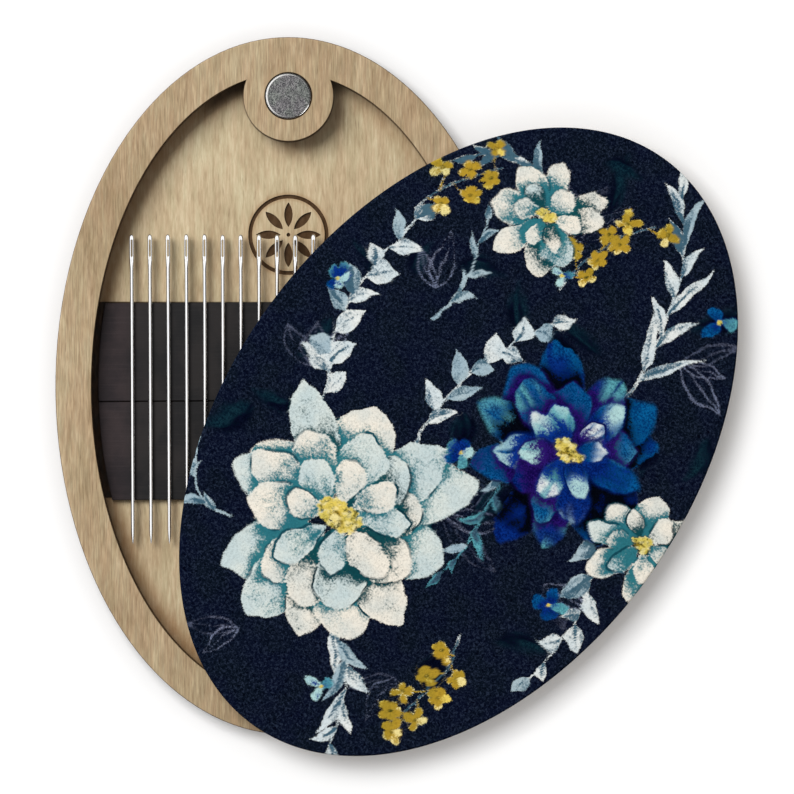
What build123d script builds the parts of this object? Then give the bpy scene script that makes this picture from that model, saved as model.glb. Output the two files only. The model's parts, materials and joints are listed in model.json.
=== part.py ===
from build123d import *
import os
from math import cos, floor, radians, sin, sqrt

os.makedirs("parts", exist_ok=True)

# The case lies flat with its underside at Z = 0 and its length along Y.
# The catch magnets are at the +Y end and the pivot magnets, which the lid swings on, at the -Y end.

# Outline, seen from above: an oval, the same for all the layers
case_length = 90.0
case_width = 60.0

# Layers, from the table up
base_board_thickness = 3.0
frame_thickness = 3.0
lid_board_thickness = 3.0
cover_thickness = 0.6
swivel_gap = 0.1
edge_softening = 0.2

# Frame
rim_width = 4.6
tab_radius = 5.8
magnet_inset = 7.6

# Magnets
magnet_diameter = 6.0
magnet_chamfer = 0.25
magnet_fit = 0.08
glue_film = 0.05

# Magnetic tape, cut to follow the cavity at its ends
tape_width = 12.7
tape_thickness = 0.8
tape_end_gap = 0.4
tape_seam_y = -1.9
tape_seam_gap = 0.1

# Needles, which lie across both tapes
needle_length = 40.0
needle_diameter = 0.55
needle_head_y = 19.6
needle_pitch = 2.35
needle_row_x = -0.15
needle_wall_room = 1.3
needle_seat = 0.01
head_length = 3.6
head_width = 0.72
head_thickness = 0.5
eye_length = 2.5
eye_width = 0.26
eye_from_end = 0.45
point_length = 6.0
tip_radius = 0.02

# Engraved rosette in the floor of the case: a ring, petals and a dot
rosette_radius = 5.2
rosette_line = 0.5
petal_count = 8
petal_width = 1.1
rosette_above_tape = 3.5
engraving_depth = 0.25

# How far the lid is swung open from closed, clockwise seen from above
open_angle = 36.05

# Heights
board_top = base_board_thickness
frame_top = board_top + frame_thickness
lid_bottom = frame_top + swivel_gap
lid_top = lid_bottom + lid_board_thickness
tape_top = board_top + tape_thickness

# Places and sizes that follow from the values above
half_length = case_length / 2
half_width = case_width / 2
cavity_half_length = half_length - rim_width
cavity_half_width = half_width - rim_width
magnet_y = half_length - magnet_inset
magnet_radius = magnet_diameter / 2
magnet_hole_radius = magnet_radius + magnet_fit
tape_upper_y = tape_seam_y + tape_seam_gap / 2 + tape_width / 2
tape_lower_y = tape_seam_y - tape_seam_gap / 2 - tape_width / 2
rosette_y = tape_upper_y + tape_width / 2 + rosette_above_tape + rosette_radius
petal_start = 2 * rosette_line
petal_end = rosette_radius - 2 * rosette_line
petal_middle = (petal_start + petal_end) / 2

# As many needles as fit between the walls where the row's ends come closest to them
needle_point_y = needle_head_y - needle_length
farthest_end = min(max(abs(needle_head_y), abs(needle_point_y)), cavity_half_length)
room_at_end = cavity_half_width * sqrt(1 - (farthest_end / cavity_half_length) ** 2)
needle_count = floor(2 * (room_at_end - needle_wall_room) / needle_pitch) + 1
first_needle_x = needle_row_x - needle_pitch * (needle_count - 1) / 2


def lid_plane(height):
    # A plane at the open lid's centre, with its Y towards the lid's catch magnet
    swing = radians(open_angle)
    centre = (magnet_y * sin(swing), magnet_y * (cos(swing) - 1), height)
    return Plane(origin=centre, x_dir=(cos(swing), -sin(swing), 0), z_dir=(0, 0, 1))


def save(piece, name):
    piece.part.label = name
    export_step(piece.part, f"parts/{name}.step")


# Base board, with the rosette cut into its floor
with BuildSketch() as petal:
    with BuildLine():
        ThreePointArc((petal_start, 0), (petal_middle, petal_width / 2), (petal_end, 0))
        ThreePointArc((petal_end, 0), (petal_middle, -petal_width / 2), (petal_start, 0))
    make_face()

with BuildPart() as base_board:
    with BuildSketch(Plane.XY):
        Ellipse(half_width, half_length)
    extrude(amount=base_board_thickness)
    fillet(base_board.edges().group_by(Axis.Z)[0], radius=edge_softening)
    with BuildSketch(Plane.XY.offset(board_top)):
        with Locations((0, rosette_y)):
            Circle(rosette_radius)
            Circle(rosette_radius - rosette_line, mode=Mode.SUBTRACT)
            Circle(rosette_line / 2)
            with PolarLocations(0, petal_count):
                add(petal.sketch)
    extrude(amount=-engraving_depth, mode=Mode.SUBTRACT)
save(base_board, "base_board")

# Frame: a rim round the cavity, with a round tab for a magnet at each end
with BuildPart() as base_frame:
    with BuildSketch(Plane.XY.offset(board_top)):
        Ellipse(half_width, half_length)
        Ellipse(cavity_half_width, cavity_half_length, mode=Mode.SUBTRACT)
        with Locations((0, magnet_y), (0, -magnet_y)):
            Circle(tab_radius)
            Circle(magnet_hole_radius, mode=Mode.SUBTRACT)
    extrude(amount=frame_thickness)
    top_outline = base_frame.edges().group_by(Axis.Z)[-1].sort_by(SortBy.LENGTH)[-1]
    fillet(top_outline, radius=edge_softening)
save(base_frame, "base_frame")


def make_magnet(plane, y, thickness, name):
    with BuildPart() as magnet:
        with BuildSketch(plane):
            with Locations((0, y)):
                Circle(magnet_radius)
        extrude(amount=thickness)
        chamfer(magnet.edges().filter_by(GeomType.CIRCLE), length=magnet_chamfer)
    save(magnet, name)


# Each magnet fills its hole, on a film of glue, with its working face flush
frame_magnet_plane = Plane.XY.offset(board_top + glue_film)
make_magnet(frame_magnet_plane, magnet_y, frame_thickness - glue_film, "catch_magnet_base")
make_magnet(frame_magnet_plane, -magnet_y, frame_thickness - glue_film, "pivot_magnet_base")
make_magnet(lid_plane(lid_bottom), magnet_y, lid_board_thickness - glue_film, "catch_magnet_lid")
make_magnet(lid_plane(lid_bottom), -magnet_y, lid_board_thickness - glue_film, "pivot_magnet_lid")

# Magnetic tapes side by side on the floor
for name, tape_y in (("magnetic_tape_upper", tape_upper_y), ("magnetic_tape_lower", tape_lower_y)):
    with BuildPart() as tape:
        with BuildSketch(Plane.XY.offset(board_top)):
            with Locations((0, tape_y)):
                Rectangle(case_width, tape_width)
            Ellipse(
                cavity_half_width - tape_end_gap,
                cavity_half_length - tape_end_gap,
                mode=Mode.INTERSECT,
            )
        extrude(amount=tape_thickness)
    save(tape, name)

# Lid board, a plain oval with a hole for each of its magnets
with BuildPart() as lid_board:
    with BuildSketch(lid_plane(lid_bottom)):
        Ellipse(half_width, half_length)
        with Locations((0, magnet_y), (0, -magnet_y)):
            Circle(magnet_hole_radius, mode=Mode.SUBTRACT)
    extrude(amount=lid_board_thickness)
    bottom_outline = lid_board.edges().group_by(Axis.Z)[0].sort_by(SortBy.LENGTH)[-1]
    fillet(bottom_outline, radius=edge_softening)
save(lid_board, "lid_board")

# Cloth cover, glued all over the top of the lid board and cut flush with it
with BuildPart() as lid_cover:
    with BuildSketch(lid_plane(lid_top)):
        Ellipse(half_width, half_length)
    extrude(amount=cover_thickness)
    fillet(lid_cover.edges().group_by(Axis.Z)[-1], radius=edge_softening)
save(lid_cover, "lid_cover")

# Needles: a round shaft with an ogive point, and a flattened head with a long eye
needle_radius = needle_diameter / 2
needle_z = tape_top + needle_seat + needle_radius
point_start = needle_length - point_length
widest = head_length / 2
neck = (widest + head_length) / 2
head_radius = head_width / 2
eye_centre = eye_from_end + eye_length / 2

for index in range(needle_count):
    needle_x = first_needle_x + index * needle_pitch
    # The needle's own plane: X runs from the head to the point, and its Z is up
    head_end = Plane(origin=(needle_x, needle_head_y, needle_z), x_dir=(0, -1, 0), z_dir=(0, 0, 1))
    with BuildPart() as needle:
        with BuildSketch(head_end):
            with BuildLine():
                Bezier((0, 0), (0, head_radius), (widest, head_radius))
                Bezier(
                    (widest, head_radius),
                    (neck, head_radius),
                    (neck, needle_radius),
                    (head_length, needle_radius),
                )
                Line((head_length, needle_radius), (point_start, needle_radius))
                Bezier(
                    (point_start, needle_radius),
                    (point_start + point_length / 2, needle_radius),
                    (needle_length, tip_radius),
                )
                Line((needle_length, tip_radius), (needle_length, 0))
                Line((needle_length, 0), (0, 0))
            make_face()
        revolve(axis=Axis(head_end.origin, head_end.x_dir))
        with BuildSketch(head_end):
            with Locations((eye_centre, 0)):
                SlotOverall(eye_length, eye_width)
        extrude(amount=head_radius, both=True, mode=Mode.SUBTRACT)
        # Flats above and below the eye
        for side in (1, -1):
            with BuildSketch(head_end.offset(side * head_thickness / 2)):
                with Locations((head_length / 2, 0)):
                    Rectangle(head_length, head_width)
            extrude(amount=side * head_radius, mode=Mode.SUBTRACT)
    save(needle, f"needle_{index + 1:02d}")

print("needles", needle_count, "first at x", round(first_needle_x, 3))
print("lid top", round(lid_top + cover_thickness, 3))
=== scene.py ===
import json
from math import atan2, cos, hypot, pi, radians, sin, sqrt

import bmesh
import bpy
import numpy as np
from mathutils import Matrix, Vector, noise


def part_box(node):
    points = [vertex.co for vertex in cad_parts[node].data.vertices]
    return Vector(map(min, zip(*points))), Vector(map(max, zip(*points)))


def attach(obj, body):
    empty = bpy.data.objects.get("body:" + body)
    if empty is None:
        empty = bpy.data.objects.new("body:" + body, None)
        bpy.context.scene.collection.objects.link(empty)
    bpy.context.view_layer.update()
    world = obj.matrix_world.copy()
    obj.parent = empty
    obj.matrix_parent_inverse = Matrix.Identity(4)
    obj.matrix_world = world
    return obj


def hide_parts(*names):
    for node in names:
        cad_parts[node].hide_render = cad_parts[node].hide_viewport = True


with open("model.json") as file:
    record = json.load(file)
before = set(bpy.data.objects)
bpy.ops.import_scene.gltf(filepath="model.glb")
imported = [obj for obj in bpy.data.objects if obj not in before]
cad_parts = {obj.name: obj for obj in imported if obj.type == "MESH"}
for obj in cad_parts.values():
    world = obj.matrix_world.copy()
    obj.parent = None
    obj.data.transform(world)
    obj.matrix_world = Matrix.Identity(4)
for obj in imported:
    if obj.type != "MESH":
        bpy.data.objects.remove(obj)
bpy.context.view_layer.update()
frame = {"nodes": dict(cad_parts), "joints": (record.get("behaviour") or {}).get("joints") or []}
scene = bpy.context.scene
mm = 0.001

# The lid is shown swung open, so its own directions are turned from the frame's
swivel = next(j for j in frame["joints"] if j["name"] == "lid_swivel")
lidTurn = -radians(swivel["range_deg"][1])
coverLow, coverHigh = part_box("lid_cover")
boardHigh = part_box("base_board")[1]
tapeLow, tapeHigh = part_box("magnetic_tape_upper")


# A number, colour or place that varies over a surface; arithmetic with it adds Math nodes
class nodeValue:
    def __init__(self, socket):
        self.socket, self.tree = socket, socket.id_data

    def __add__(self, other):
        return doMath("ADD", self, other)

    def __sub__(self, other):
        return doMath("SUBTRACT", self, other)

    def __rsub__(self, other):
        return doMath("SUBTRACT", other, self)

    def __mul__(self, other):
        return doMath("MULTIPLY", self, other)

    def __truediv__(self, other):
        return doMath("DIVIDE", self, other)

    def __abs__(self):
        return doMath("ABSOLUTE", self)


def feed(socket, value):
    if isinstance(value, nodeValue):
        value.tree.links.new(value.socket, socket)
    else:
        socket.default_value = value


def addNode(tree, kind, settings=None, out=0, **values):
    # An input is named, or is "at" and its number
    node = tree.nodes.new("ShaderNode" + kind)
    for name, value in (settings or {}).items():
        setattr(node, name, value)
    for name, value in values.items():
        feed(node.inputs[int(name[2:])] if name.startswith("at") else node.inputs[name], value)
    return nodeValue(node.outputs[out])


def doMath(operation, a, b=0.0):
    tree = a.tree if isinstance(a, nodeValue) else b.tree
    return addNode(tree, "Math", {"operation": operation}, at0=a, at1=b)


def larger(a, b):
    return doMath("MAXIMUM", a, b)


def smaller(a, b):
    return doMath("MINIMUM", a, b)


def fade(value, low, high, start=0.0, end=1.0):
    smooth = {"interpolation_type": "SMOOTHSTEP"}
    return addNode(value.tree, "MapRange", smooth, at0=value, at1=low, at2=high, at3=start, at4=end)


def mixColours(share, first, second, blend="MIX"):
    tree = next(v.tree for v in (share, first, second) if isinstance(v, nodeValue))
    first, second = (c if isinstance(c, nodeValue) else (*c, 1) for c in (first, second))
    return addNode(tree, "Mix", {"data_type": "RGBA", "blend_type": blend}, 2, at0=share, at6=first, at7=second)


def tinted(colour, tint):
    return mixColours(1.0, colour, tint, "MULTIPLY")


def grain(place, scale, detail=2.0, roughness=0.5, distortion=0.0):
    values = {"Vector": place, "Scale": scale, "Detail": detail, "Roughness": roughness, "Distortion": distortion}
    return addNode(place.tree, "TexNoise", **values)


def stretch(place, scale, move=(0, 0, 0), turn=0.0):
    return addNode(place.tree, "Mapping", Vector=place, Scale=scale, Rotation=(0, 0, turn), Location=move)


def parts(place):
    return [nodeValue(socket) for socket in addNode(place.tree, "SeparateXYZ", Vector=place).socket.node.outputs]


def join(x, y):
    return addNode(x.tree, "CombineXYZ", X=x, Y=y)


def lengthOf(x, y):
    return addNode(x.tree, "VectorMath", {"operation": "LENGTH"}, "Value", at0=join(x, y))


def distanceTo(x, y, centre):
    return addNode(x.tree, "VectorMath", {"operation": "DISTANCE"}, "Value", at0=join(x, y), at1=(*centre, 0))


def levelness(tree):
    # 1 where a face is level, 0 on an upright wall
    return abs(parts(addNode(tree, "NewGeometry", out="Normal"))[2])


def bands(value, stops):
    ramp = addNode(value.tree, "ValToRGB", Fac=value)
    places = ramp.socket.node.color_ramp.elements
    while len(places) < len(stops):
        places.new(0.5)
    for element, (position, colour) in zip(places, stops):
        element.position = position
        element.color = (*colour, 1)
    return ramp


def objectPlace(tree, turn=0.0, move=(0, 0, 0)):
    # The piece's own coordinates, in millimetres
    return stretch(addNode(tree, "TexCoord", out="Object"), (1 / mm, 1 / mm, 1 / mm), move, turn)


def newMaterial(name, specular=0.5, metallic=0.0):
    material = bpy.data.materials.new(name)
    material.use_nodes = True
    shader = material.node_tree.nodes["Principled BSDF"]
    shader.inputs["Specular IOR Level"].default_value = specular
    shader.inputs["Metallic"].default_value = metallic
    return material, material.node_tree, shader


def coat(shader, colour, roughness, relief=None, strength=0.0, deep=0.0):
    feed(shader.inputs["Base Color"], colour)
    feed(shader.inputs["Roughness"], roughness)
    if relief:
        bump = addNode(relief.tree, "Bump", Height=relief, Strength=strength, Distance=deep * mm)
        feed(shader.inputs["Normal"], bump)


# Birch plywood, cut by a laser that leaves its edges brown
plywood = {
    "tones": ((0.0, (0.285, 0.194, 0.113)), (0.5, (0.372, 0.266, 0.163)), (1.0, (0.455, 0.345, 0.222))),
    "casts": ((1.018, 0.993, 0.978), (0.982, 1.01, 0.988)), "fleck": (0.135, 0.08, 0.042),
    # The smoke and burnt colours also paint the base board's shade beside the walls
    "char": (0.01, 0.005, 0.002), "scorch": (0.12, 0.068, 0.032), "smoke": (0.27, 0.135, 0.052),
    "burnt": (0.034, 0.016, 0.007), "core": (0.165, 0.1, 0.05),
    "thickness": 3.0, "specular": 0.16, "roughness": (0.52, 0.72), "fleckStrength": 0.4, "spread": (0.39, 0.61),
    "floorTone": (1.3, 1.44, 1.51), "frameTone": (1.01, 1.045, 1.055), "lidTone": (1, 1, 1),
    # The cut edge from the bottom up: three plies with glue lines between them
    "plies": ((0.00, "char"), (0.06, "scorch"), (0.29, "scorch"), (0.33, "char"), (0.37, "core"),
              (0.62, "core"), (0.66, "char"), (0.7, "scorch"), (0.94, "scorch"), (1.00, "char")),
}
# How fine each pattern is across, along and through a board, where it starts, then what grain takes
woodGrain = {
    "fibre": ((3.6, 0.42, 1.0), (0, 0, 0), 3.0, 0.62, 0.3), "broad": ((1.1, 0.13, 1.0), (9, 4, 0), 3.0, 0.6, 0.4),
    "band": ((0.2, 0.05, 0.4), (0, 0, 0), 3.0, 0.55, 0.5), "hue": ((0.7, 0.11, 1.0), (5, 2, 0), 4.0, 0.65),
    "streak": ((6.5, 0.3, 1.0), (7, 1, 0)), "pore": ((5.0, 0.42, 1.0), (3, 8, 0)),
    "ragged": ((1.4, 0.6, 1.0), (0, 0, 0), 3.0), "wander": ((0.35, 0.35, 0.8), (0, 0, 0)),
    "marks": ((4.0, 4.0, 0.25), (0, 0, 0), 3.0, 0.7),
}


def plywoodMaterial(name, bottom, seed, turn, tone, streaks, burnsAndShade=None):
    material, tree, shader = newMaterial(name, plywood["specular"])
    place = objectPlace(tree, turn, (seed * 31.0, seed * 17.0, 0))
    x, y, z = parts(objectPlace(tree))

    def pattern(kind):
        scale, move, *fineness = woodGrain[kind]
        return grain(stretch(place, scale, move), 1.0, *fineness)

    # Face grain: fine streaks, broad streaks and soft bands, all along the board
    fibre, pore = pattern("fibre"), pattern("pore")
    mixed = fibre * 0.4 + pattern("broad") * 0.26 + pattern("band") * 0.34
    mixed = addNode(tree, "MapRange", at0=mixed, at1=plywood["spread"][0], at2=plywood["spread"][1])
    colour = bands(mixed, plywood["tones"])
    cast = mixColours(fade(pattern("hue"), 0.4, 0.6), *plywood["casts"])
    colour = tinted(colour, tinted(cast, tone))
    if streaks:
        colour = tinted(colour, fade(pattern("streak"), 0.35, 0.65, 1 - streaks, 1 + streaks))
    colour = mixColours(fade(pore, 0.62, 0.74, 0.0, plywood["fleckStrength"]), colour, plywood["fleck"])

    # Smoke stain beside the cuts and what the laser has burnt, and on the base board painted shade by the walls
    if burnsAndShade:
        smoke, burnt = burnsAndShade(x, y, z)
        ragged = pattern("ragged")
        if smoke:
            colour = mixColours(smoke * fade(ragged, 0.25, 0.75, 0.7, 1.0), colour, plywood["smoke"])
        colour = mixColours(burnt, colour, mixColours(fade(ragged, 0.35, 0.65), plywood["burnt"], plywood["char"]))

    # Cut edges: the plies, and the laser's upright marks
    level = (z - bottom) / plywood["thickness"] + fade(pattern("wander"), 0.2, 0.8, -0.02, 0.02)
    plies = bands(level, [(position, plywood[kind]) for position, kind in plywood["plies"]])
    marks = pattern("marks")
    plies = mixColours(fade(marks, 0.35, 0.75, 0.0, 0.75), plies, plywood["char"])
    cut = fade(levelness(tree), 0.55, 0.9, 1.0, 0.0)
    coat(shader, mixColours(cut, colour, plies), fade(fibre, 0.3, 0.8, *plywood["roughness"]),
         fibre + pore * 0.6 - marks * cut * 2.0, 0.35, 0.05)
    return material


frameShape = {"rim": 4.6, "tabRadius": 5.8, "holeRadius": 3.08}
rosette = {"aboveTape": 8.7, "radius": 5.2, "line": 0.5, "deepest": 2.8, "surface": 2.97, "floor": (2.0, 2.3)}
# Each runs between two distances in millimetres, and then come its strengths at the first and at the last
# The laser's soot and burns, and painted shade: the line at the walls' foot is partly painted shade, and the corners,
# the left side, the warm shade near the walls and the tape's trench are painted shade
sootAndShade = {
    "cutEdge": (0.0, 0.07, 0.6, 0.0), "outerEdge": (0.0, 0.14, 0.2, 0.0), "beside": (0.02, 0.2, 0.7, 0.0),
    "corner": (0.3, 2.6, 0.75, 0.0), "drift": (0.55, 1.9, 1.0, 0.0), "driftEnd": (3.4, 6.8, 0.84, 0.0),
    "leftward": (-3.0, 0.0, 1.0, 0.0), "haze": (0.5, 3.0, 0.72, 0.0), "hazeSides": (0.0, 1.0, 0.45, 1.0),
    "ring": (0.2, 0.9, 0.48, 0.0), "inside": (2.0, 5.0, 0.2, 0.08), "insideEnd": (5.4, 6.2, 1.0, 0.0),
    "trench": 0.995, "trenchEdge": 0.1, "engraved": 0.85, "wayOff": 9.0,
}


def ovalDepth(x, y, halfX, halfY):
    # Millimetres inside an oval's line, or negative outside it
    across, along = x / halfX, y / halfY
    size = lengthOf(across, along)
    return (1.0 - size) * size / lengthOf(across / halfX, along / halfY)


def cavityWalls(x, y):
    # Millimetres of room to the cavity's oval wall and to the nearer tab's round one; both its tabs are alike
    halfX, halfY = boardHigh.x / mm - frameShape["rim"], boardHigh.y / mm - frameShape["rim"]
    magnetY = sum(v.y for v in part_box("catch_magnet_base")) / 2 / mm
    return ovalDepth(x, y, halfX, halfY), distanceTo(x, abs(y), (0, magnetY)) - frameShape["tabRadius"]


def frameBurns(x, y, z):
    rim, tab = cavityWalls(x, y)
    inner = smaller(rim, tab) * -1.0
    hole = tab + (frameShape["tabRadius"] - frameShape["holeRadius"])
    outer = ovalDepth(x, y, boardHigh.x / mm, boardHigh.y / mm)
    return None, larger(fade(smaller(inner, hole), *sootAndShade["cutEdge"]), fade(outer, *sootAndShade["outerEdge"]))


def boardBurnsAndShade(x, y, z):
    # Burnt where it is engraved, with a little smoke round the ring
    engraved = fade(z, rosette["deepest"], rosette["surface"], 1.0, 0.0)
    apart = distanceTo(x, y, (0, tapeHigh.y / mm + rosette["aboveTape"]))
    ring = fade(abs(apart - (rosette["radius"] - rosette["line"] / 2)), *sootAndShade["ring"])
    inside = fade(apart, *sootAndShade["inside"]) * fade(apart, *sootAndShade["insideEnd"])

    # A dark line at the walls' foot, partly soot and partly painted contact shade, and painted shade deepest in the
    # corners and on the left, where the walls' shadow falls
    rim, tab = cavityWalls(x, y)
    beside = fade(smaller(rim, tab), *sootAndShade["beside"])
    leftward = fade(x, *sootAndShade["leftward"])
    drift = fade(rim, *sootAndShade["drift"]) * fade(tab, *sootAndShade["driftEnd"]) * leftward
    corner = larger(fade(rim + tab, *sootAndShade["corner"]), drift)
    # The floor in the tape's trench is painted near black: a painted shadow
    tapeTrenchShadow = fade(abs(y - tapeLow.y / mm), tape["width"] - sootAndShade["trenchEdge"],
                      tape["width"] + sootAndShade["trenchEdge"], sootAndShade["trench"], 0.0)
    # Painted warm shade on the floor near the walls, weaker on the right and none beside the tab's left
    shownTab = tab + leftward * sootAndShade["wayOff"]  # no haze beside the tab's left
    haze = fade(smaller(rim, shownTab), *sootAndShade["haze"]) * fade(leftward, *sootAndShade["hazeSides"])

    # The ring's smoke and the engraving's burn are real; the rest below is painted shade
    smoke = larger(larger(larger(ring, inside), engraved), haze)
    burnt = larger(larger(beside, engraved * sootAndShade["engraved"]), larger(corner, tapeTrenchShadow))
    above = fade(z, *rosette["floor"])
    return smoke * above, burnt * above


def paintPlywood():
    frameBottom, lidBottom = boardHigh.z / mm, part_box("lid_board")[0].z / mm
    boards = {
        "base_board": plywoodMaterial("birchBaseBoard", 0.0, 1, 0.0, plywood["floorTone"], 0.0, boardBurnsAndShade),
        "base_frame": plywoodMaterial("birchFrame", frameBottom, 2, 0.0, plywood["frameTone"], 0.14, frameBurns),
        "lid_board": plywoodMaterial("birchLid", lidBottom, 3, -lidTurn, plywood["lidTone"], 0.12),
    }
    for node, material in boards.items():
        frame["nodes"][node].material_slots[0].material = material
    print("plywood painted")


# Meshes and objects
def asMesh(bm, name):
    bmesh.ops.recalc_face_normals(bm, faces=bm.faces)
    mesh = bpy.data.meshes.new(name)
    bm.to_mesh(mesh)
    bm.free()
    return mesh


def addObject(name, data):
    made = bpy.data.objects.new(name, data)
    scene.collection.objects.link(made)
    return made


def placePiece(mesh, node, body, material, sharpAngle=35):
    piece = addObject(mesh.name, mesh)
    mesh.materials.append(material)
    mesh.shade_smooth()
    if sharpAngle:
        mesh.set_sharp_from_angle(angle=radians(sharpAngle))
    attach(piece, body)
    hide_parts(node)
    return piece


def vertsOf(made):
    return [g for g in made["geom"] if isinstance(g, bmesh.types.BMVert)]


def openEdges(bm):
    return [e for e in bm.edges if e.is_boundary]


def raiseFace(bm, low, high):
    # A flat face at nought becomes a plate from low to high
    bmesh.ops.translate(bm, verts=bm.verts[:], vec=(0, 0, low))
    top = bmesh.ops.extrude_face_region(bm, geom=bm.faces[:])
    bmesh.ops.translate(bm, verts=vertsOf(top), vec=(0, 0, high - low))
    bmesh.ops.recalc_face_normals(bm, faces=bm.faces)


def bevelEdges(bm, edges, offset, segments):
    bmesh.ops.bevel(bm, geom=edges, offset=offset * mm, offset_type="OFFSET", affect="EDGES", segments=segments,
                    profile=0.5, material=-1)


# Disc magnets, nickel plated
magnet = {
    "segments": 96, "slope": 0.34, "fall": 0.15, "rounding": 0.08, "roundingSteps": 4,
    # The face is darkened as a painted reflection of the dark overhead; the rim keeps the bright nickel
    "face": ((0.058, 0.059, 0.061), (0.35, 0.354, 0.335)), "pit": (0.02, 0.02, 0.022),
    "casts": ((1.03, 0.98, 1.05), (0.98, 1.02, 1.0)), "rim": (0.8, 0.79, 0.77),
}


def nickelMaterial():
    material, tree, shader = newMaterial("nickelPlate", metallic=1.0)
    place = objectPlace(tree)
    mottle = grain(place, 3.0, 3.0, 0.72, 2.2)
    pit = grain(place, 4.6, 2.0, 0.5, 1.2)
    # One nickel finish, painted darker on the level face as a dark reflection, and bright on the sloped rim
    colour = mixColours(fade(mottle, 0.42, 0.6), *magnet["face"])
    colour = tinted(colour, mixColours(fade(grain(place, 0.55), 0.38, 0.62), *magnet["casts"]))
    colour = mixColours(fade(pit, 0.58, 0.68, 0.0, 0.7), colour, magnet["pit"])
    rim = fade(levelness(tree), 0.935, 0.975, 1.0, 0.0)
    colour = mixColours(rim, colour, magnet["rim"])
    coat(shader, colour, fade(mottle, 0.3, 0.7, 0.4, 0.52) - rim * 0.26, mottle, 0.25, 0.03)
    return material


def makeMagnet(node, body, material):
    low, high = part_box(node)
    centre, radius = (low + high) / 2, (high.x - low.x) / 2
    bm = bmesh.new()
    made = bmesh.ops.create_circle(bm, cap_ends=True, segments=magnet["segments"], radius=radius)
    bmesh.ops.translate(bm, verts=made["verts"], vec=(centre.x, centre.y, 0))
    raiseFace(bm, low.z, high.z)
    ends = [f for f in bm.faces if len(f.verts) > 4]
    bmesh.ops.inset_region(bm, faces=ends, thickness=magnet["slope"] * mm, depth=0.0, use_even_offset=True)
    for v in bm.verts:  # the rim slopes away from each end
        if hypot(v.co.x - centre.x, v.co.y - centre.y) > radius - 0.01 * mm:
            v.co.z += magnet["fall"] * mm * (-1 if v.co.z > centre.z else 1)
    bmesh.ops.recalc_face_normals(bm, faces=bm.faces)
    rims = [e for e in bm.edges if abs(e.verts[0].co.z - e.verts[1].co.z) < 0.01 * mm]
    bevelEdges(bm, rims, magnet["rounding"], magnet["roundingSteps"])
    placePiece(asMesh(bm, node + "_disc"), node, body, material)


def makeMagnets():
    material = nickelMaterial()
    for node, body in (("catch_magnet_base", "base"), ("pivot_magnet_base", "base"),
                       ("catch_magnet_lid", "lid"), ("pivot_magnet_lid", "lid_pivot")):
        makeMagnet(node, body, material)
    print("magnets made")


# Magnetic tape, two strips cut to the cavity's curve
tape = {
    "endGap": 0.85, "width": (tapeHigh.y - tapeLow.y) / mm, "segments": 300, "rounding": 0.12, "askew": 0.45,
    "tones": ((0.0125, 0.0122, 0.0128), (0.02, 0.018, 0.0178)), "drawn": (0.03, 0.028, 0.028),
    "speck": (0.05, 0.048, 0.046), "endTone": (1.55, 1.3, 1.36), "handled": (6.5, 3.0),
}


def tapeMaterial():
    material, tree, shader = newMaterial("ferriteRubber", 0.1)
    place = objectPlace(tree)
    drawn = grain(stretch(place, (0.12, 6.0, 1.0)), 1.0, 3.0, 0.6)
    cloud = grain(stretch(place, (0.25, 0.18, 1.0)), 1.0, 3.0, 0.55)
    speck = grain(place, 9.0, 2.0, 0.6)
    colour = mixColours(fade(cloud, 0.38, 0.62), *tape["tones"])
    colour = mixColours(fade(drawn, 0.45, 0.7, 0.0, 0.35), colour, tape["drawn"])
    colour = mixColours(fade(speck, 0.62, 0.74, 0.0, 0.4), colour, tape["speck"])
    atEnd = fade(abs(parts(place)[0]), *(tapeHigh.x / mm - far for far in tape["handled"]))
    colour = tinted(colour, mixColours(atEnd, (1, 1, 1), tape["endTone"]))
    coat(shader, colour, fade(drawn, 0.3, 0.7, 0.4, 0.54), drawn + speck * 0.5, 0.25, 0.03)
    return material


def makeTape(node, material):
    low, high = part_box(node)
    shrink = (frameShape["rim"] + tape["endGap"]) * mm
    bm = bmesh.new()
    made = bmesh.ops.create_circle(bm, cap_ends=True, segments=tape["segments"], radius=1.0)
    bmesh.ops.scale(bm, verts=made["verts"], vec=(boardHigh.x - shrink, boardHigh.y - shrink, 1))
    for level, outwards in ((low.y, -1), (high.y, 1)):
        bmesh.ops.bisect_plane(bm, geom=bm.verts[:] + bm.edges[:] + bm.faces[:], plane_co=(0, level, 0),
                               plane_no=(0, outwards, 0), clear_outer=True)
    raiseFace(bm, low.z, high.z)
    rim = [e for e in bm.edges if all(v.co.z > high.z - 0.1 * mm for v in e.verts)]
    bevelEdges(bm, rim, tape["rounding"], 3)
    bmesh.ops.rotate(bm, verts=bm.verts[:], cent=(0, tapeLow.y, 0),
                     matrix=Matrix.Rotation(radians(tape["askew"]), 3, "Z"))
    placePiece(asMesh(bm, node + "_strip"), node, "base", material)


def makeTapes():
    material = tapeMaterial()
    for node in ("magnetic_tape_upper", "magnetic_tape_lower"):
        makeTape(node, material)
    print("magnetic tape made")


# Needles: one is turned, its eye cut and its gutters ground, and the rest are copies of it
needle = {
    "radius": 0.275, "headLength": 5.0, "headRadius": 0.33, "headThickness": 0.5, "archLength": 0.5,
    "flatFrom": 0.55, "flatRise": 0.12, "pointLength": 2.3, "tipRadius": 0.045, "taper": 2.6,
    "around": 32, "eyeStart": 0.76, "eyeLength": 2.14, "eyeWidth": 0.15, "eyeFlare": 0.03,
    # The eyes' tone is dull steel painted darker as shade in the narrow slot
    "eyeTone": (0.035, 0.033, 0.03), "dullEdge": (0.11, 0.145), "dullStart": (-0.1, 0.1), "dullEnd": (-0.06, 0.02),
    "steels": ((0.86, 0.86, 0.865), (0.95, 0.945, 0.935)),
    "gutterWidth": 0.12, "gutterDepth": 0.04, "gutterStart": 0.15, "gutterEnd": 4.0,
    "roll": 3.0, "slide": 0.05, "askew": 0.36, "lean": 0.06,
}


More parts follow.
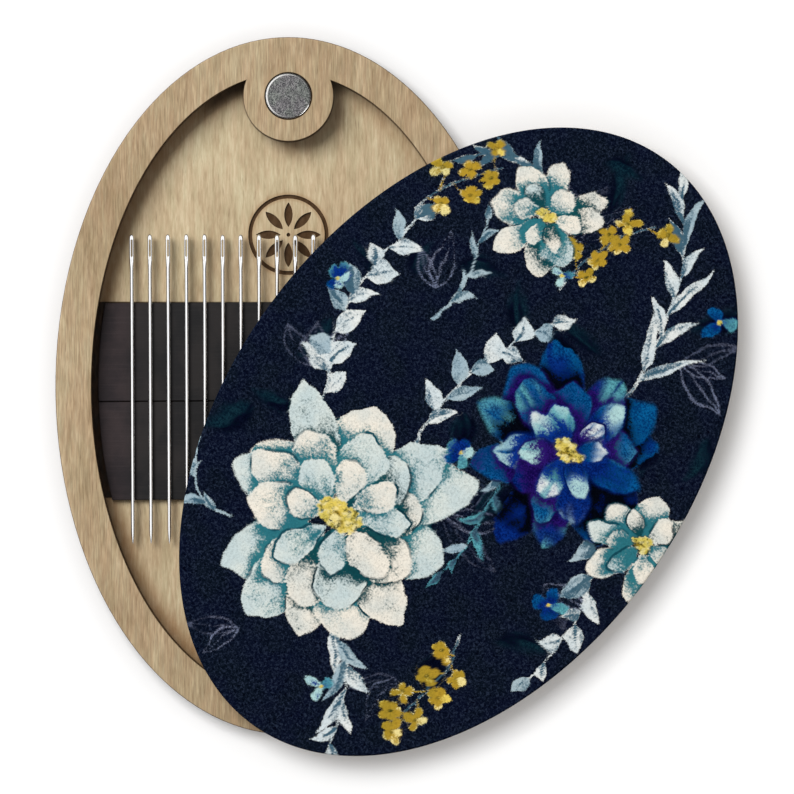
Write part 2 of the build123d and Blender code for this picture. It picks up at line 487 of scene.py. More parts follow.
def steelMaterial(nodes):
    material, tree, shader = newMaterial("polishedSteel", metallic=1.0)
    place = objectPlace(tree)
    wear = grain(stretch(place, (6.0, 0.5, 6.0)), 1.0, 3.0, 0.6)
    colour = mixColours(fade(wear, 0.3, 0.7), *needle["steels"])

    # The punched eyes are left dull and painted darker as shade in the narrow slot; they lie at an even pitch, along
    # needles that are all a little askew
    first, second = (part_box(node) for node in nodes[:2])
    pitch, start = (second[0].x - first[0].x) / mm, (first[0].x + first[1].x) / 2 / mm
    x, y, z = parts(place)
    x = x + (y - (first[0].y + first[1].y) / 2 / mm) * sin(radians(needle["askew"]))
    beside = abs((doMath("FRACT", (x - (start - pitch / 2)) / pitch) - 0.5) * pitch)
    fromHead = first[1].y / mm - y
    starts = [needle["eyeStart"] + blur for blur in needle["dullStart"]]
    ends = [needle["eyeStart"] + needle["eyeLength"] + blur for blur in needle["dullEnd"]]
    dullEyeShade = fade(beside, *needle["dullEdge"], 1.0, 0.0) * fade(fromHead, *ends, 1.0, 0.0) * fade(fromHead, *starts)
    coat(shader, mixColours(dullEyeShade, colour, needle["eyeTone"]), fade(wear, 0.35, 0.75, 0.1, 0.2))
    return material


def needleProfile(length):
    # Pairs of how far from the head's end, and how thick there
    shoulder, neck = needle["eyeStart"] + needle["eyeLength"], needle["headLength"]
    head, shank, tip = needle["headRadius"], needle["radius"], needle["tipRadius"]
    points = [(needle["archLength"] * (1 - cos(turn)), head * sin(turn)) for turn in np.linspace(0, pi / 2, 9)]
    for share in np.linspace(0, 1, 9):
        points.append((shoulder + (neck - shoulder) * share, head + (shank - head) * easeStep(0, 1, share)))
    for share in np.linspace(1, 0, 15):
        points.append((length - needle["pointLength"] * share, shank + (tip - shank) * (1 - share) ** needle["taper"]))
    return points + [(length, 0.0)]


def turnNeedle(length):
    bm = bmesh.new()
    line = [bm.verts.new((thick * mm, -far * mm, 0)) for far, thick in needleProfile(length)]
    edges = [bm.edges.new(pair) for pair in zip(line, line[1:])]
    bmesh.ops.spin(bm, geom=line + edges, cent=(0, 0, 0), axis=(0, 1, 0), angle=2 * pi,
                   steps=needle["around"], use_merge=True)
    bmesh.ops.remove_doubles(bm, verts=bm.verts, dist=1e-7)
    for v in bm.verts:  # the head is pressed flat
        far = -v.co.y / mm / needle["headLength"]
        flat = needle["headThickness"] / 2 + max(0.0, far - needle["flatFrom"]) * needle["flatRise"]
        if far < 1.0:
            v.co.z = max(-flat * mm, min(flat * mm, v.co.z))
    return bm


def slotRing(bm, flare, height):
    # One level of the eye's cutter: a long slot whose lips open outwards
    half = (needle["eyeWidth"] / 2 + flare) * mm
    straight = (needle["eyeLength"] - needle["eyeWidth"]) / 2 * mm
    middle = (needle["eyeStart"] + needle["eyeLength"] / 2) * mm
    made = bmesh.ops.create_circle(bm, cap_ends=False, segments=24, radius=half)
    for v in made["verts"]:
        v.co.y += (straight if v.co.y > 0 else -straight) - middle
        v.co.z = height * mm
    bm.edges.index_update()
    return sorted({e for v in made["verts"] for e in v.link_edges}, key=lambda e: e.index)


def eyeCutter():
    bm = bmesh.new()
    flare, lip = needle["eyeFlare"], needle["headThickness"] / 2
    levels = [(flare * 3, 2 * lip), (flare, lip), (0.0, lip / 2)]
    levels = [(wider, -height) for wider, height in levels] + levels[::-1]
    rings = [slotRing(bm, wider, height) for wider, height in levels]
    for lower, upper in zip(rings, rings[1:]):
        bmesh.ops.bridge_loops(bm, edges=lower + upper)
    bmesh.ops.holes_fill(bm, edges=rings[0] + rings[-1])
    return bm


def gutterCutter():
    # Two long hollows that lead the thread into the eye, above and below
    bm = bmesh.new()
    half = needle["gutterEnd"] / 2
    for side in (1, -1):
        made = bmesh.ops.create_uvsphere(bm, u_segments=20, v_segments=12, radius=mm)
        bmesh.ops.scale(bm, verts=made["verts"], vec=(needle["gutterWidth"] / 2, half, needle["gutterDepth"]))
        bmesh.ops.translate(bm, verts=made["verts"], vec=(0, -(half + needle["gutterStart"]) * mm,
                                                          side * needle["headThickness"] / 2 * mm))
    return bm


def needleMesh(length):
    made = {"needleBlank": turnNeedle(length), "eyeCutter": eyeCutter(), "gutterCutter": gutterCutter()}
    blank, *cutters = (addObject(name, asMesh(bm, name)) for name, bm in made.items())
    for cutter in cutters:
        cut = blank.modifiers.new(cutter.name, "BOOLEAN")
        cut.object = cutter
        cut.operation = "DIFFERENCE"
        cut.solver = "EXACT"
    whole = blank.evaluated_get(bpy.context.evaluated_depsgraph_get())
    mesh = bpy.data.meshes.new_from_object(whole)
    for used in [blank, *cutters]:
        bpy.data.objects.remove(used)
    return mesh


def makeNeedles():
    nodes = sorted(n for n in frame["nodes"] if n.startswith("needle_"))
    steel = steelMaterial(nodes)
    low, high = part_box(nodes[0])
    master = needleMesh((high.y - low.y) / mm)
    uneven = np.random.RandomState(11)
    for node in nodes:
        low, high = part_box(node)
        roll, slide, lean = uneven.uniform(-1, 1, 3)
        half = (high.y - low.y) / 2
        place = Matrix.Translation((low + high) / 2 + Vector((0, slide * needle["slide"] * mm, 0)))
        mesh = master.copy()
        mesh.name = node + "_steel"
        mesh.transform(place @ Matrix.Rotation(radians(needle["askew"] + lean * needle["lean"]), 4, "Z")
                       @ Matrix.Translation((0, half, 0)) @ Matrix.Rotation(radians(roll * needle["roll"]), 4, "Y"))
        placePiece(mesh, node, "base", steel, 32)
    bpy.data.meshes.remove(master)
    print(len(nodes), "needles made")


# The lid's cloth cover: printed velour, cut flush with the board
cover = {
    "cellsAcross": 244, "cellsAlong": 366, "rounding": 0.22, "roundingSteps": 3, "nap": 0.016, "fray": 0.035,
    "flat": (0.06, 0.09), "wobble": ((0.75, 2.7), (0.3, 0.95)), "lightFrom": 1.0, "shadeReach": 0.55,
    "lineReach": 0.52, "strokeLength": 2.3, "halo": 0.8, "farthest": 4.0,
    "numbers": ("edge", "soft", "wash", "seam", "inked"), "dyes": ("first", "second"),
}
dye = {
    "navy": (0.0024, 0.0042, 0.015), "night": (0.0016, 0.0026, 0.006), "dusk": (0.0065, 0.029, 0.043),
    "cream": (0.76, 0.735, 0.66), "coolCream": (0.6, 0.675, 0.66), "paleGrey": (0.68, 0.73, 0.735),
    "mistGrey": (0.36, 0.47, 0.53), "leafShade": (0.05, 0.115, 0.165), "teal": (0.026, 0.165, 0.2),
    "deepTeal": (0.006, 0.06, 0.072), "turquoise": (0.11, 0.4, 0.45), "paleTurquoise": (0.42, 0.64, 0.64),
    "cerulean": (0.003, 0.12, 0.33), "royal": (0.003, 0.03, 0.22), "violet": (0.022, 0.007, 0.13),
    "straw": (0.82, 0.7, 0.3), "mustard": (0.72, 0.56, 0.11), "ochre": (0.4, 0.26, 0.025),
    "olive": (0.06, 0.058, 0.008), "thread": (0.15, 0.17, 0.25),
}


def easeStep(low, high, value):
    share = np.clip((value - low) / (high - low), 0, 1)
    return share * share * (3 - 2 * share)


def patches(x, y, seed):
    # Smooth random patches about one unit across, from 0 to 1
    table = np.random.RandomState(seed).rand(64, 64)
    column, row = np.floor(x).astype(int), np.floor(y).astype(int)
    across, along = easeStep(0, 1, x - column), easeStep(0, 1, y - row)

    def onRow(level):
        return table[column % 64, level % 64] * (1 - across) + table[(column + 1) % 64, level % 64] * across

    return onRow(row) * (1 - along) + onRow(row + 1) * along


def headingOf(way):
    return atan2(way[1], way[0])


class clothPrint:
    # What is printed at each point of the cloth, in millimetres from the lid's centre, as drawn by an unsteady hand
    def __init__(self, across, along):
        count = len(across)
        self.u, self.v = across.copy(), along.copy()
        for seed, (reach, size) in enumerate(cover["wobble"]):
            self.u += reach * (patches(across / size, along / size, 50 + seed) - 0.5)
            self.v += reach * (patches(across / size, along / size, 60 + seed) - 0.5)
        self.edge = np.full(count, -cover["farthest"])  # how far inside a motif
        self.soft = np.full(count, 0.1)  # how blurred the motif's edge is
        self.wash = np.zeros(count)  # how much of the second dye
        self.seam = np.full(count, cover["farthest"])  # how far inside the topmost motif
        self.inked = np.zeros(count)  # how strong that motif's outline is
        self.first = np.tile(dye["navy"], (count, 1))
        self.second = self.first.copy()

    def around(self, centre, reach, turn=0.0):
        # The points within reach of a centre, and how far each lies along and across a turned line from it
        du, dv = self.u - centre[0], self.v - centre[1]
        points = np.nonzero(np.hypot(du, dv) < reach)[0]
        du, dv = du[points], dv[points]
        return points, du * cos(turn) + dv * sin(turn), dv * cos(turn) - du * sin(turn)

    def lay(self, points, depth, first, second, wash, soft=0.1, shade=0.0, line=0.0):
        depth = np.clip(depth, -cover["farthest"], cover["farthest"])
        printed = self.edge[points] > 0
        beyond = (depth > self.edge[points]) * (depth > -cover["halo"])
        over = np.where(printed, easeStep(-soft, soft, depth), beyond)
        if shade:  # the motif below is darker where this one begins
            falloff = np.exp(np.minimum(depth, 0) / cover["shadeReach"])
            self.wash[points] += printed * (depth < 0) * shade * falloff
        for name, value in (("wash", wash), ("soft", soft), ("first", first), ("second", second)):
            kept = getattr(self, name)
            share = over if kept.ndim == 1 else over[:, None]
            kept[points] += share * (np.asarray(value) - kept[points])
        self.edge[points] = np.maximum(self.edge[points], depth)

        # Its outline shows in broken strokes, where it lies on another motif
        size, reach = cover["strokeLength"], cover["lineReach"]
        broken = easeStep(0.34, 0.6, patches(self.u[points] / size, self.v[points] / size, 71))
        stroke = line * broken * printed * easeStep(reach, 0.24, np.abs(depth))
        self.inked[points] = np.where(depth > -reach, stroke, self.inked[points])
        self.seam[points] = np.where(depth > -reach, depth, self.seam[points])


def slopeDepth(shape, s, t):
    # About how far inside the line where shape is 0: its value over its slope
    small = 0.03
    value = shape(s, t)
    slope = np.hypot(shape(s + small, t) - value, shape(s, t + small) - value) / small
    return value / np.maximum(slope, 0.02)


def printPetal(cloth, centre, turn, length, width, first, second, wash, rim, soft, shade, wave,
               line=0.0, tip=None, pointed=0.0):
    points, s, t = cloth.around(centre, length * 1.3 + 1, turn)
    middle, half = length * 0.53, length * 0.5

    def shape(s, t):
        along = (s - middle) / half
        across = t / (width / 2 * (1 + 0.3 * np.clip(along, -1.2, 1.2)))
        angle = np.arctan2(across, along)
        ruffle = 0.085 * np.sin(3 * angle + wave * 7) + 0.07 * np.sin(7 * angle + wave * 13)
        notch = 0.16 * np.exp(-((across - 0.5 + wave) / 0.2) ** 2) * (along > 0) * (0.3 + 0.7 * sin(wave * 5) ** 2)
        return 1 + (ruffle - notch) * (1 - 0.8 * pointed) - along ** 2 - np.abs(across) ** (2 - 0.85 * pointed)

    depth = slopeDepth(shape, s, t)
    base = np.clip(1 - s / length, 0, 1) ** 1.3
    seed = 100 + int(wave * 800)
    streaks = patches(t * 2.1 / np.sqrt(0.35 + np.clip(s, 0, None) / length), s * 0.3, seed)
    blots = patches(s * 0.42, t * 0.42, seed + 1)
    side = easeStep(-width * 0.15, width * 0.5, t * (1 if sin(wave * 17) > 0 else -1))
    away = 0.5 - 0.5 * cos(turn - cover["lightFrom"])  # the far side of a flower is in its own shade
    amount = 0.78 * base + 0.4 * side * (0.25 + 0.75 * base) + 0.62 * (streaks - 0.45) * (0.15 + base)
    amount += 0.55 * (blots - 0.52)
    amount = wash * (0.5 + 0.75 * away) * amount * easeStep(-0.2, rim, depth + 0.9 * (blots - 0.5))
    if tip:  # paler towards its end, in blots
        paler = easeStep(0.45, 1.0, s / length + 0.9 * (blots - 0.5)) * easeStep(0.25, 0.6, streaks + 0.15)
        first = np.asarray(first) + paler[:, None] * (np.asarray(tip) - first)
        amount = amount * (1 - 0.6 * paler)
    cloth.lay(points, depth, first, second, amount, soft, shade, line)


def printLeaf(cloth, root, turn, length, width, bend, first, second, wash, soft, rib):
    points, s, t = cloth.around(root, length * 1.2 + 1, turn)
    t = t - bend * s * (length - s) / length * 4 / length * 0.5
    share = np.clip(s / length, 0, 1)
    outline = width / 2 * np.sin(pi * share ** 0.8) ** 1.15 * (1 - 0.25 * share)
    depth = outline - np.hypot(t, s - np.clip(s, 0, length))
    streaks = patches(t * 2.6, s * 0.42, 200 + int(abs(turn) * 97 + length * 31) % 500)
    half = easeStep(-0.1, 0.45, t / (width / 2))
    amount = wash * (0.75 * half * (1 - 0.4 * share) + 0.45 * (1 - share) ** 2 + 1.25 * (streaks - 0.42))
    amount += rib * np.exp(-(t / 0.15) ** 2) * easeStep(0.95, 0.5, share) * easeStep(0.3, 0.55, streaks + 0.2)
    cloth.lay(points, depth, first, second, amount, soft)


def printStem(cloth, ends, thick, thin, first, second):
    # A bent line from the first end to the last, drawn towards the one between
    a, b, c = (np.array(p, float) for p in ends)
    share = np.linspace(0, 1, 22)[:, None]
    line = (1 - share) ** 2 * a + 2 * share * (1 - share) * b + share ** 2 * c
    middle = line.mean(0)
    points = cloth.around(middle, np.linalg.norm(line - middle, axis=1).max() + 2)[0]
    place = np.stack([cloth.u[points], cloth.v[points]], 1)
    depth = np.full(len(points), -9.0)
    for step, (p, q) in enumerate(zip(line, line[1:])):
        span = q - p
        share = np.clip(((place - p) @ span) / (span @ span), 0, 1)
        far = np.linalg.norm(place - p - share[:, None] * span, axis=1)
        width = thick + (thin - thick) * (step + share) / (len(line) - 1)
        depth = np.maximum(depth, width / 2 - far)
    cloth.lay(points, depth, first, second, 0.3, 0.06)
    return line


def printDot(cloth, centre, radius, first, second, wash=0.5, soft=0.06):
    points, s, t = cloth.around(centre, radius + 2)
    amount = wash * np.clip(0.5 + 0.6 * s / radius, 0, 1)
    cloth.lay(points, radius - np.hypot(s, t), first, second, amount, soft)


def printSpray(cloth, ends, leaves, length, width, spread, first, chance):
    second = dye["leafShade"]
    line = printStem(cloth, ends, 0.34, 0.2, first, second)
    for index in range(leaves):
        last = index == leaves - 1
        share = 0.14 + 0.86 * (index + chance.uniform(-0.25, 0.25) * (not last)) / (leaves - 1)
        at = int(round(share * (len(line) - 1)))
        heading = headingOf(line[min(at + 1, len(line) - 1)] - line[max(at - 1, 0)])
        side = 0 if last else (1 if index % 2 else -1)
        turn = heading + side * (spread + chance.uniform(-0.26, 0.26))
        grown = length * (1.0 - 0.4 * share) * chance.uniform(0.68, 1.18)
        tint = first if chance.uniform() < 0.72 else dye["mistGrey"]
        printLeaf(cloth, line[at], turn, grown, width * chance.uniform(0.72, 1.15) * (1 - 0.2 * share),
                  -side * chance.uniform(0.2, 1.5), tint, second, 0.55 * chance.uniform(0.6, 1.3), 0.08,
                  chance.uniform(0.4, 1.3))


def printSprig(cloth, ends, count, size, chance):
    # Small yellow blossoms on side shoots
    pale, ochre = dye["paleGrey"], dye["ochre"]
    line = printStem(cloth, ends, 0.26, 0.18, pale, dye["leafShade"])
    for index in range(count):
        at = line[min(len(line) - 1, int(4 + index / count * (len(line) - 3)))]
        heading = headingOf(line[-1] - line[0]) + (1 if index % 2 else -1) * chance.uniform(0.5, 1.2)
        tip = at + chance.uniform(1.2, 2.8) * np.array([cos(heading), sin(heading)])
        printStem(cloth, (at, (at + tip) / 2 + chance.uniform(-0.3, 0.3, 2), tip), 0.22, 0.18, pale, ochre)
        petals, turn = chance.randint(4, 6), chance.uniform(0, 2)
        for petal in range(petals):
            yellow = dye["straw"] if chance.uniform() < 0.7 else dye["mustard"]
            printPetal(cloth, tip, turn + 2 * pi * petal / petals, size * chance.uniform(1.6, 2.4),
                       size * chance.uniform(1.2, 1.7), yellow, ochre, 1.5, 0.3, 0.1, 0.9, chance.uniform(0, 1))
        printDot(cloth, tip, size * 0.35, ochre, dye["olive"], 0.8)


def printThread(cloth, root, turn, length, width, strength):
    # A leaf that is only drawn, in one thin line
    points, s, t = cloth.around(root, length * 1.2 + 1, turn)
    share = np.clip(s / length, 0, 1)
    half = width / 2 * np.sin(pi * share ** 0.85)
    faint = 0.1 * easeStep(0.15, 0.55, patches(s * 0.6, t * 0.6 + root[0], 91))
    offRib = np.hypot(t, s - np.clip(s, 0, length))
    depth = np.maximum(faint - np.abs(half - offRib), faint - 0.03 - offRib)
    cloth.lay(points, depth, tuple(strength * c for c in dye["thread"]), dye["navy"], 0.3, 0.14)


def printStamens(cloth, centre, reach, count, flat, chance):
    points, du, dv = cloth.around(centre, reach * 1.8 + 1)
    dv = dv / flat
    rough = 0.5 * (patches(du * 1.4 + 9, dv * 1.4 + 9, 81) - 0.5)
    cloth.lay(points, reach * (0.86 + rough) - np.hypot(du, dv), dye["ochre"], dye["olive"], 0.55, 0.45, 0.7)
    for index in range(count):
        turn, far = chance.uniform(0, 2 * pi), reach * sqrt(chance.uniform(0.02, 1.15))
        spot = (centre[0] + far * cos(turn), centre[1] + far * sin(turn) * flat)
        yellow = dye["straw"] if chance.uniform() < 0.35 else dye["mustard"]
        printDot(cloth, spot, chance.uniform(0.14, 0.38), yellow, dye["olive"], chance.uniform(0, 0.9), 0.1)


def printBlossom(cloth, flower, chance):
    centre, turned, rings, soft, line, *stamens = flower
    for count, turn, start, length, width, wash, rim, shade, pointed, firsts, seconds, tips in rings:
        for index in range(count):
            heading = turned + turn + 2 * pi * index / count + chance.uniform(-0.24, 0.24)
            out = start * chance.uniform(0.5, 1.5)
            root = (centre[0] + out * cos(heading), centre[1] + out * sin(heading))
            first = dye[firsts[chance.randint(len(firsts))]]
            second = dye[seconds[chance.randint(len(seconds))]]
            printPetal(cloth, root, heading, length * chance.uniform(0.84, 1.1), width * chance.uniform(0.82, 1.22),
                       first, second, wash * chance.uniform(0.55, 1.3), rim, soft * chance.uniform(0.7, 1.5), shade,
                       chance.uniform(0, 1), line * chance.uniform(0.4, 1.2), dye.get(tips[index % len(tips)]),
                       pointed)
    printStamens(cloth, *stamens, chance)


# The print. A flower's rings run from the outermost in: each has its petals' count, turn, start, length, width,
# wash, rim, shade, how pointed they are, and the dyes that they are drawn in
creamPetal = (0.75, 0.8, ("cream", "cream", "coolCream"), ("teal", "deepTeal", "teal"), (None,))
creamRings = [
    (12, 0.0, 2.2, 13.4, 6.8, 1.1, 1.3, *creamPetal), (10, 0.3, 1.9, 10.2, 5.6, 1.05, 1.1, *creamPetal),
    (8, 0.1, 1.6, 7.0, 4.2, 1.05, 0.8, *creamPetal),
]
smallRings = [(8, 0.0, 1.0, 6.6, 3.4, 1.1, 0.8, *creamPetal), (6, 0.4, 0.7, 4.2, 2.6, 1.1, 0.6, *creamPetal)]
blueRings = [
    (11, 0.1, 1.6, 11.4, 5.6, 1.9, 1.0, 1.1, 0.9,
     ("royal", "cerulean", "royal"), ("violet", "night"), ("cerulean", None, "turquoise")),
    (9, 0.4, 1.2, 8.4, 4.4, 1.8, 0.8, 1.1, 0.9,
     ("cerulean", "royal", "cerulean"), ("violet", "royal"), ("turquoise", "paleTurquoise", None)),
    (7, 0.9, 0.9, 5.4, 3.2, 1.5, 0.5, 1.0, 0.9,
     ("turquoise", "cerulean", "turquoise"), ("royal", "violet"), ("paleGrey", "paleTurquoise")),
]
bouquet = {
    "seed": 29,
    "foliage": 26,  # dim leaves far back
    "threads": [  # each from a root, with a leaf each way, and their length
        ((-3, 30), (2.4, 1.7, 1.1), 9), ((17, 25), (0.9, 0.3, -0.3), 8), ((4, -9), (-0.2, 0.5, 1.2), 9),
        ((-21, -3), (2.1, 1.4, 2.8), 7), ((11, -29), (-2.2, -1.5, -0.8), 8), ((-14, 14), (2.6, 1.9), 7),
        ((20, -8), (-0.6, 0.1), 6), ((-9, -36), (-2.6, -1.9), 6),
    ],
    "sprays": [  # each along a bent stem, with its leaves' count, length, width and spread
        (((-15, -8), (-25, 2), (-21, 20)), 13, 5.6, 3.2, 0.85, "paleGrey"),
        (((14, 16), (15, 30), (5, 42)), 11, 9.0, 2.0, 0.62, "paleGrey"),
        (((-1, -27), (8, -31), (10, -43)), 9, 7.6, 2.0, 0.62, "paleGrey"),
        (((19, 3), (28, -5), (25, -19)), 9, 4.8, 2.7, 0.8, "paleGrey"),
        (((-4, -4), (-7, 8), (1, 19)), 10, 5.0, 2.9, 0.8, "paleGrey"),
        (((-18, -25), (-24, -27), (-27, -20)), 5, 4.4, 1.4, 0.66, "mistGrey"),
        (((-10, 33), (-16, 36), (-20, 31)), 6, 5.0, 1.5, 0.62, "paleGrey"),
        (((6, 2), (10, -6), (8, -15)), 7, 4.6, 1.3, 0.66, "turquoise"),
        (((-12, 11), (-10, 18), (-14, 25)), 6, 4.4, 1.3, 0.7, "mistGrey"),
    ],
    "sprigs": [
        (((15, -20), (17, -26), (14, -35)), 8, 0.72), (((-22, 21), (-21, 27), (-16, 32)), 6, 0.66),
        (((-1, 23), (-2, 30), (4, 37)), 7, 0.7),
    ],
    "blossoms": [  # each at a place, with its turn, rings, blur, outline, and its stamens' reach, count and flatness
        ((12, 7), 0.4, blueRings, 0.3, 0.9, (12.2, 7.2), 1.9, 60, 0.7),
        ((-7, -17), 0.3, creamRings, 0.1, 1.0, (-6.8, -16.8), 2.8, 150, 0.62),
        ((-8, 30), 1.1, smallRings, 0.1, 1.0, (-8, 30), 1.2, 34, 0.8),
        ((27, 3), 2.0, smallRings, 0.1, 1.0, (27, 3), 1.2, 34, 0.8),
    ],
    "buds": [((1, -1), 1.9), ((22, -10), 2.3), ((-2, 25), 1.5), ((4, -36), 1.8), ((18, 32), 2.1), ((-25, 8), 1.6)],
}


def printFlowers(cloth):
    chance = np.random.RandomState(bouquet["seed"])
    for index in range(bouquet["foliage"]):
        spot = (chance.uniform(-26, 26), chance.uniform(-42, 42))
        printLeaf(cloth, spot, chance.uniform(0, 2 * pi), chance.uniform(4, 8), chance.uniform(2.0, 3.6), 1.0,
                  dye["dusk"], dye["navy"], 0.9, 0.7, 0.0)
    for root, turns, length in bouquet["threads"]:
        for turn in turns:
            printThread(cloth, root, turn, length * chance.uniform(0.75, 1.15), chance.uniform(1.8, 3.0),
                        chance.uniform(0.6, 1.5))
    for ends, leaves, length, width, spread, tint in bouquet["sprays"]:
        printSpray(cloth, ends, leaves, length, width, spread, dye[tint], chance)
    for ends, count, size in bouquet["sprigs"]:
        printSprig(cloth, ends, count, size, chance)
    for flower in bouquet["blossoms"]:
        printBlossom(cloth, flower, chance)
    for spot, size in bouquet["buds"]:
        petals, turn = chance.randint(3, 6), chance.uniform(0, 2)
        for index in range(petals):
            tint = dye[("turquoise", "cerulean", "paleTurquoise")[chance.randint(3)]]
            printPetal(cloth, spot, turn + 2 * pi * index / petals + chance.uniform(-0.3, 0.3),
                       size * chance.uniform(0.75, 1.2), size * chance.uniform(0.6, 0.9), tint, dye["royal"],
                       1.3, 0.4, 0.14, 0.4, chance.uniform(0, 1))
        printDot(cloth, spot, 0.3, dye["mustard"], dye["olive"])


velour = {
    "roughness": 0.92, "sheen": {"Weight": 0.006, "Roughness": 0.45, "Tint": (0.75, 0.82, 1.0, 1.0)},
    "shadow": (0.16, 0.2, 0.34), "outline": (0.3, 0.4, 0.46), "backing": (0.3, 0.29, 0.26),
    "backingEdge": (0.22, 0.32), "tones": ((1.05, 1.01, 0.97), (0.86, 0.9, 0.92)),
    "ground": (0.0026, 0.0052, 0.011), "pileDark": (0.0006, 0.001, 0.004), "pileLight": (0.016, 0.024, 0.046),
}


def velourMaterial():
    material, tree, shader = newMaterial("printedVelour", 0.0)
    for name, value in velour["sheen"].items():
        shader.inputs["Sheen " + name].default_value = value
    place = objectPlace(tree, -lidTurn)

    def printed(kind, out):
        return [addNode(tree, "Attribute", {"attribute_name": name}, out) for name in cover[kind]]

    edge, soft, wash, seam, inked = printed("numbers", "Fac")
    first, second = printed("dyes", "Color")

    pile = grain(place, 3.3, 3.0, 0.68, 0.9)
    fine = grain(place, 7.0, 2.0, 0.6, 0.5)
    cloud = grain(place, 0.22, 3.0, 0.55)
    frayed = (fine + pile) * 0.5 - 0.5
    pale = fade(parts(first)[0], 0.02, 0.3)

    # The second dye comes through the first in specks, outlines are drawn dry, and edges are as rough as the pile
    speck = grain(stretch(place, (1, 1, 1), (40, 7, 0)), 3.6, 3.0, 0.75)
    blotch = grain(place, 0.8, 4.0, 0.72, 0.6)
    washed = wash + (speck - 0.5) * 2.0 + (blotch - 0.5) * 1.5
    ink = mixColours(fade(washed, 0.12, 0.95), first, second)
    dry = fade(speck + blotch * 0.6, 0.66, 0.98, 0.95, 0.0) - pale
    ink = mixColours(larger(dry, 0.0), ink, tinted(ink, velour["shadow"]))
    drawn = fade(abs(seam + frayed * 0.5), 0.08, 0.22, 1.0, 0.0) * inked
    ink = mixColours(drawn, ink, tinted(second, velour["outline"]))
    ink = tinted(ink, mixColours(fade(cloud, 0.36, 0.64), *velour["tones"]))
    ink = mixColours(fade(pile, 0.36, 0.56, 0.2, 0.0), ink, dye["night"])

    ground = mixColours(fade(cloud, 0.35, 0.65), dye["navy"], velour["ground"])
    ground = mixColours(fade(pile, 0.46, 0.34, 0.0, 0.9), ground, velour["pileDark"])
    ground = mixColours(fade(pile, 0.49, 0.64, 0.0, 0.9), ground, velour["pileLight"])
    colour = mixColours(fade((edge + frayed * 0.85) / soft, -1.0, 1.0), ground, ink)

    # The cut edge shows the pale backing under the dyed pile
    ragged = parts(addNode(tree, "TexCoord", out="Object"))[2] + (fine - 0.5) * (0.25 * mm)
    backing = fade(ragged, *(coverLow.z + height * mm for height in velour["backingEdge"]), 1.0, 0.0)
    coat(shader, mixColours(backing, colour, velour["backing"]), velour["roughness"], pile + fine * 0.5, 0.55, 0.08)
    return material


def coverMesh():
    # An even net drawn out to the oval, then turned down over its edge
    halfX, halfY, bend = boardHigh.x, boardHigh.y, cover["rounding"] * mm
    thick = coverHigh.z - coverLow.z
    bm = bmesh.new()
    bmesh.ops.create_grid(bm, x_segments=cover["cellsAcross"], y_segments=cover["cellsAlong"], size=1.0)
    for v in bm.verts:
        x, y = v.co.x, v.co.y
        v.co = (x * sqrt(1 - y * y / 2) * (halfX - bend), y * sqrt(1 - x * x / 2) * (halfY - bend), thick)
    turns, last = np.linspace(0, pi / 2, cover["roundingSteps"] + 1)[1:], 0.0
    falls = [(sin(turn), 1 - cos(turn)) for turn in turns] + [(1.0, (thick / bend + 1) / 2), (1.0, thick / bend)]
    for out, down in falls:
        grown = bmesh.ops.extrude_edge_only(bm, edges=openEdges(bm))
        growX = (halfX - bend + out * bend) / (halfX - bend + last * bend)
        growY = (halfY - bend + out * bend) / (halfY - bend + last * bend)
        for v in vertsOf(grown):
            v.co = (v.co.x * growX, v.co.y * growY, thick - down * bend)
        last = out
    bmesh.ops.contextual_create(bm, geom=openEdges(bm))
    for v in bm.verts:  # the pile is uneven, and the cut edge a little ragged
        place = v.co / mm
        if v.co.z > thick * 0.6:
            v.co.z += cover["nap"] * mm * (noise.noise(place * 2.1) - 0.3)
        elif v.co.z > 0.1 * mm:
            v.co.xy *= 1 - cover["fray"] * mm / halfX * (0.5 + 0.5 * noise.noise(place * 3.0))
    return asMesh(bm, "lid_cover_cloth")


def makeCover():
    mesh = coverMesh()
    flat = np.empty(len(mesh.vertices) * 3)
    mesh.vertices.foreach_get("co", flat)
    places = flat.reshape(-1, 3) / mm
    cloth = clothPrint(places[:, 0], places[:, 1])
    printFlowers(cloth)
    for name in cover["numbers"]:
        mesh.attributes.new(name, "FLOAT", "POINT").data.foreach_set("value", getattr(cloth, name).astype(np.float32))
    for name in cover["dyes"]:
        dyes = np.ones((len(places), 4), np.float32)
        dyes[:, :3] = getattr(cloth, name)
        mesh.attributes.new(name, "FLOAT_COLOR", "POINT").data.foreach_set("color", dyes.ravel())
    centre = (coverLow + coverHigh) / 2
    mesh.transform(Matrix.Translation((centre.x, centre.y, coverLow.z)) @ Matrix.Rotation(lidTurn, 4, "Z"))
    piece = placePiece(mesh, "lid_cover", "lid", velourMaterial(), 0)
    print("cloth cover made,", len(mesh.polygons), "faces")


# Camera, lights and floor
studio = {
    "viewCentre": (14.09, -1.42), "viewWidth": 102.45, "viewHeight": 1000.0, "viewTurn": 0.1,
    "key": {"power": 14.8, "size": 0.62, "place": (-0.534, 0.498, 0.76)},
    "paperLight": {"power": 5.5, "size": 0.31, "place": (-0.167, 0.177, 0.9)},
    "paperFill": {"power": 3.7, "size": 1.0, "place": (0.0, 0.0, 0.9)},
    "fill": 0.31, "paleSky": 0.9, "lowSky": 0.05, "softBox": 1.25, "boxWay": (-0.27, 0.13, 1.0),
    "boxEdge": (0.67, 0.84), "glint": 3.5, "glintWay": (0.743, -0.624, 0.24), "glintEdge": (0.88, 0.93),
    "floorSize": 6.0, "floorDrop": 0.02, "floorColour": (0.88, 0.88, 0.88, 1),
}


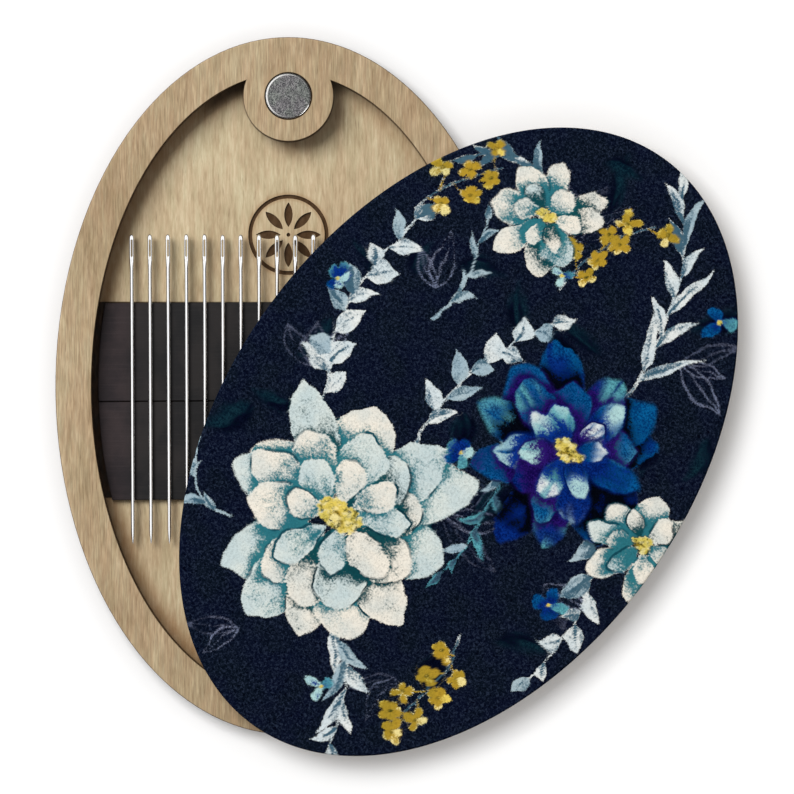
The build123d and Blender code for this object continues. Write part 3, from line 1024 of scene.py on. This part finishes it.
def makeCamera():
    camera = addObject("camera", bpy.data.cameras.new("camera"))
    x, y = studio["viewCentre"]
    camera.location = (x * mm, y * mm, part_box("base_frame")[1].z + studio["viewHeight"] * mm)
    camera.rotation_euler.z = radians(studio["viewTurn"])
    camera.data.lens = camera.data.sensor_width * studio["viewHeight"] / studio["viewWidth"]
    camera.data.clip_start = 0.01
    scene.camera = camera


def makeSky():
    # An even fill, and for polished metal a bright soft box overhead that leans to the key's side, and a low glint
    world = bpy.data.worlds.new("studio")
    world.use_nodes = True
    world.cycles.sampling_method = "NONE"
    tree = world.node_tree
    way = addNode(tree, "TexCoord", out="Generated")

    def patch(target, edge, low, high):
        along = addNode(tree, "VectorMath", {"operation": "DOT_PRODUCT"}, "Value", at0=way, at1=target)
        return fade(along, *edge, low, high)

    mirrored = patch(studio["boxWay"], studio["boxEdge"], studio["lowSky"], studio["softBox"])
    mirrored = mirrored + patch(studio["glintWay"], studio["glintEdge"], 0.0, studio["glint"])
    glossy, seen = (addNode(tree, "LightPath", out=ray) for ray in ("Is Glossy Ray", "Is Camera Ray"))
    strength = addNode(tree, "Mix", at0=glossy, at2=studio["fill"], at3=mirrored)
    strength = addNode(tree, "Mix", at0=seen, at2=strength, at3=studio["paleSky"])
    background = tree.nodes["Background"]
    background.inputs["Color"].default_value = (1, 1, 1, 1)
    feed(background.inputs["Strength"], strength)
    scene.world = world


def makeFloor():
    material, tree, shader = newMaterial("paleFloor", 0.0)
    coat(shader, studio["floorColour"], 1.0)
    bm = bmesh.new()
    bmesh.ops.create_grid(bm, x_segments=1, y_segments=1, size=studio["floorSize"] / 2)
    bmesh.ops.translate(bm, verts=bm.verts[:], vec=(0, 0, -studio["floorDrop"] * mm))  # clear of the underside
    floor = addObject("floor", asMesh(bm, "floor"))
    floor.data.materials.append(material)
    return floor


def makeLight(name, floor, state):
    # The key lights the case alone and the paper lights the floor alone, so that the floor's shadow stays soft
    settings = studio[name]
    lamp = bpy.data.lights.new(name, "AREA")
    lamp.energy, lamp.size = settings["power"], settings["size"]
    light = addObject(name, lamp)
    light.location = settings["place"]
    light.rotation_euler = (-Vector(settings["place"])).to_track_quat("-Z", "Y").to_euler()
    light.visible_glossy = False  # polished metal mirrors the sky's soft box instead
    lit = bpy.data.collections.new(name + "Lit")
    lit.objects.link(floor)
    lit.collection_objects[0].light_linking.link_state = state
    light.light_linking.receiver_collection = lit


def makeStudio():
    makeCamera()
    makeSky()
    floor = makeFloor()
    for name, state in (("key", "EXCLUDE"), ("paperLight", "INCLUDE"), ("paperFill", "INCLUDE")):
        makeLight(name, floor, state)
    scene.view_settings.view_transform = "Standard"
    print("studio set")


makeStudio()
paintPlywood()
makeMagnets()
makeTapes()
makeNeedles()
makeCover()
